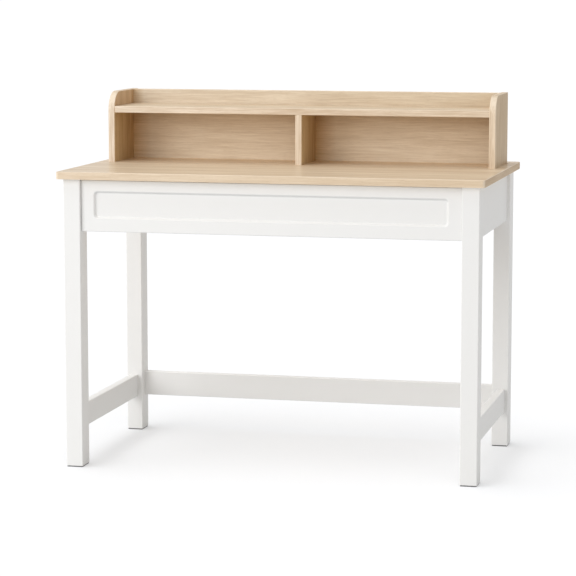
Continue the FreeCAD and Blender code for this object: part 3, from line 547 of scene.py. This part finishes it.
def makeSmooth(name, settings):
    # lacquer, plated steel and plastic: broad patches in the colour, fine specks in the gloss, painted light
    # on faces that look up, painted shade on faces that look down, and paler eased edges as a painted
    # highlight
    material, tree, shader = newMaterial(name)
    place = addNode(tree, "ShaderNodeTexCoord")
    speckle = addNode(tree, "ShaderNodeGroup", node_tree=speckleGroup)
    feed(tree, speckle.inputs["Vector"], place.outputs["Object"])
    speckle.inputs["Scale"].default_value = settings["speckle"]
    faces = addNode(tree, "ShaderNodeGroup", node_tree=faceGroup)
    feed(tree, faces.inputs["Normal"], place.outputs["Normal"])
    colour = settings["colour"]
    # painted light on faces that look up, painted shade on faces that look down
    for face, entry in (("Rise", "rising"), ("Fall", "fallingShade")):
        if entry in settings:
            colour = mixColour(tree, faces.outputs[face], colour, settings[entry])
    colour = mixColour(tree, speckle.outputs["Broad"], colour, settings["patch"], "MULTIPLY")
    # paler eased edges: a painted highlight
    arris = mathNode(tree, "MULTIPLY", faces.outputs["Arris"], settings["arrisHighlightDepth"])
    feed(tree, shader.inputs["Base Color"], mixColour(tree, arris, colour, settings["arris"]))
    shader.inputs["Metallic"].default_value = settings["metallic"]
    shader.inputs["Specular IOR Level"].default_value = settings["shine"]
    least = settings["roughness"] - speckleSettings["gloss"]
    most = settings["roughness"] + speckleSettings["gloss"]
    feed(tree, shader.inputs["Roughness"], mapRange(tree, speckle.outputs["Fine"], 0.0, 1.0, least, most))
    relief = addNode(tree, "ShaderNodeBump")
    relief.inputs["Strength"].default_value = settings["relief"]
    relief.inputs["Distance"].default_value = speckleSettings["reliefDepth"]
    feed(tree, relief.inputs["Height"], speckle.outputs["Fine"])
    feed(tree, shader.inputs["Normal"], relief.outputs[0])
    return material


whiteLacquer = makeSmooth("whiteLacquer", lacquerSettings)
routedLacquer = makeSmooth("routedLacquer", routedSettings)
oakTop = makeWood("oakTop", topSettings, "X", "Y")
oakShelf = makeWood("oakShelf", shelfSettings, "X", "Y")
oakUpright = makeWood("oakUpright", uprightSettings, "Z", "Y")
oakBack = makeWood("oakBack", backSettings, "X", "Y")
birchLong = makeWood("birchLong", birchSettings, "X", "Y")
birchDeep = makeWood("birchDeep", birchSettings, "Y", "X")
beechLong = makeWood("beechLong", beechSettings, "X", "Y")
beechDeep = makeWood("beechDeep", beechSettings, "Y", "X")
zincSteel = makeSmooth("zincSteel", zincSettings)
glidePlastic = makeSmooth("glidePlastic", glideSettings)

finishes = {
    "white_lacquer": {"all": whiteLacquer, "drawer_front": routedLacquer},
    "oak_veneer": {
        "all": oakUpright,
        "desktop": oakTop,
        "hutch_shelf": oakShelf,
        "hutch_back_panel": oakBack,
    },
    "drawer_birch": {"all": birchLong, "drawer_side_left": birchDeep, "drawer_side_right": birchDeep},
    "bare_beech": {
        "all": beechDeep,
        "top_cleat_back": beechLong,
        "drawer_stop_block": beechLong,
        "cross_dowels": beechLong,
    },
    "zinc_steel": {"all": zincSteel},
    "glide_plastic": {"all": glidePlastic},
}
for part in frame["record"]["subparts"]:
    choice = finishes[part["material_slot"]]
    mesh = nodes[part["node"]].data
    mesh.materials.clear()
    mesh.materials.append(choice.get(part["node"], choice["all"]))
print("materials set:", len(bpy.data.materials))


# studio

studio = {
    "ambient": (0.562, 0.559, 0.552, 1.0),
    "white": (1.0, 1.0, 1.0, 1.0),
    "floorReach": 200.0,
    "floorColour": (0.655, 0.655, 0.655, 1.0),    # what the desk gets back from the floor
    "floorShade": (0.55, 0.556, 0.568, 1.0),      # what the lamps add to the floor that the camera sees
    "floorGlow": 0.306,
    "poolFrom": (-12.0, 74.0),                    # degrees to the right of the front, degrees up
    "poolSpread": 46.0,
    "poolStrength": 0.74,
    "footFrom": (-75.0, 76.0),
    "footSpread": 48.0,
    "footStrength": 1.64,
    "topFrom": (-75.0, 70.0),
    "topSpread": 45.0,
    "topStrength": 0.80,
    "frontFrom": (-38.0, 20.0),
    "frontDistance": 8.0,
    "frontSize": 5.6,
    "frontPower": 283.0,
    "aim": (0.0, 0.0, 0.45),
    "railFrom": (0.0, 90.0),
    "railSpread": 8.0,
    "railStrength": 0.50,
    "bayFrom": (20.0, 10.0),
    "baySpread": 40.0,
    "bayStrength": 0.38,
}


def seenDirectly(tree):
    # 1 for rays that show the white surround: from the camera, in a reflection or through glass
    path = addNode(tree, "ShaderNodeLightPath")
    seen = mathNode(tree, "MAXIMUM", path.outputs["Is Camera Ray"], path.outputs["Is Glossy Ray"])
    return mathNode(tree, "MAXIMUM", seen, path.outputs["Is Transmission Ray"])


def makeWorld(settings):
    world = bpy.data.worlds.new("studioWorld")
    world.use_nodes = True
    tree = world.node_tree
    background = tree.nodes["Background"]
    colour = mixColour(tree, seenDirectly(tree), settings["ambient"], settings["white"])
    feed(tree, background.inputs["Color"], colour)
    scene.world = world


def makeFloor(settings):
    reach = settings["floorReach"]
    corners = [(-reach, -reach, 0), (reach, -reach, 0), (reach, reach, 0), (-reach, reach, 0)]
    mesh = bpy.data.meshes.new("studioFloor")
    mesh.from_pydata(corners, [], [(0, 1, 2, 3)])
    floor = bpy.data.objects.new("studioFloor", mesh)
    scene.collection.objects.link(floor)
    material, tree, shader = newMaterial("studioFloor")
    seen = seenDirectly(tree)
    colour = mixColour(tree, seen, settings["floorColour"], settings["floorShade"])
    feed(tree, shader.inputs["Base Color"], colour)
    shader.inputs["Roughness"].default_value = 1.0
    shader.inputs["Specular IOR Level"].default_value = 0.0
    shader.inputs["Emission Color"].default_value = settings["white"]
    glow = mathNode(tree, "MULTIPLY", seen, settings["floorGlow"])
    feed(tree, shader.inputs["Emission Strength"], glow)
    mesh.materials.append(material)
    return floor


def directionFrom(angles):
    turn, rise = (math.radians(angle) for angle in angles)
    return Vector((math.sin(turn) * math.cos(rise), -math.cos(turn) * math.cos(rise), math.sin(rise)))


def hangLamp(name, kind, away, lit):
    lamp = bpy.data.lights.new(name, kind)
    holder = bpy.data.objects.new(name, lamp)
    holder.rotation_euler = away.to_track_quat("Z", "Y").to_euler()
    holder.light_linking.receiver_collection = lit
    scene.collection.objects.link(holder)
    return lamp, holder


def hangSky(name, settings, lit):
    # a far soft light, set by the entries that start with its name
    lamp, holder = hangLamp(name + "Light", "SUN", directionFrom(settings[name + "From"]), lit)
    lamp.angle = math.radians(settings[name + "Spread"])
    lamp.energy = settings[name + "Strength"]
    return holder


def linkSet(name, members, state):
    group = bpy.data.collections.new(name)
    for member in members:
        group.objects.link(member)
    for entry in group.collection_objects:
        entry.light_linking.link_state = state
    return group


def makeLamps(settings, floor):
    # a wide soft light overhead and a softbox in front, both from the left and flagged off the floor
    desk = linkSet("floorFlag", [floor], "EXCLUDE")
    hangSky("top", settings, desk)
    away = directionFrom(settings["frontFrom"])
    lamp, holder = hangLamp("frontSoftbox", "AREA", away, desk)
    holder.location = Vector(settings["aim"]) + away * settings["frontDistance"]
    lamp.shape = "DISK"
    lamp.size = settings["frontSize"]
    lamp.energy = settings["frontPower"]
    # a low fill from the right that reaches into the hutch's bays
    hangSky("bay", settings, linkSet("bayBack", [nodes["hutch_back_panel"]], "INCLUDE"))
    # the floor's own light: one for the pool under the desk, one for the shadows of legs and side stretchers
    alone = linkSet("floorAlone", [floor], "INCLUDE")
    hangSky("pool", settings, alone)
    low = [nodes[name] for name in nodes if name.startswith(("leg_", "foot_glides", "side_stretcher"))]
    lowFrame = linkSet("lowFrame", low, "INCLUDE")
    hangSky("foot", settings, alone).light_linking.blocker_collection = lowFrame
    # a lift on the upper edges of the two stretchers that the desktop keeps in the shade
    rails = linkSet("rails", [nodes["rear_stretcher"], nodes["side_stretcher_right"]], "INCLUDE")
    hangSky("rail", settings, rails).light_linking.blocker_collection = lowFrame


makeWorld(studio)
studioFloor = makeFloor(studio)
makeLamps(studio, studioFloor)


# camera, fitted to the photo's edges: a long lens from the right, a little above the desktop

viewpoint = {
    "place": (1.3885, -5.8148, 1.2223),
    "turn": 13.58,
    "down": 7.49,
    "lens": 146.2,
    "sensor": 36.0,
    "reach": 200.0,
}
lens = bpy.data.cameras.new("deskCamera")
lens.lens = viewpoint["lens"]
lens.sensor_width = viewpoint["sensor"]
lens.clip_end = viewpoint["reach"]
camera = bpy.data.objects.new("deskCamera", lens)
camera.location = viewpoint["place"]
camera.rotation_euler = (math.radians(90.0 - viewpoint["down"]), 0.0, math.radians(viewpoint["turn"]))
scene.collection.objects.link(camera)
scene.camera = camera
print("studio and camera ready")
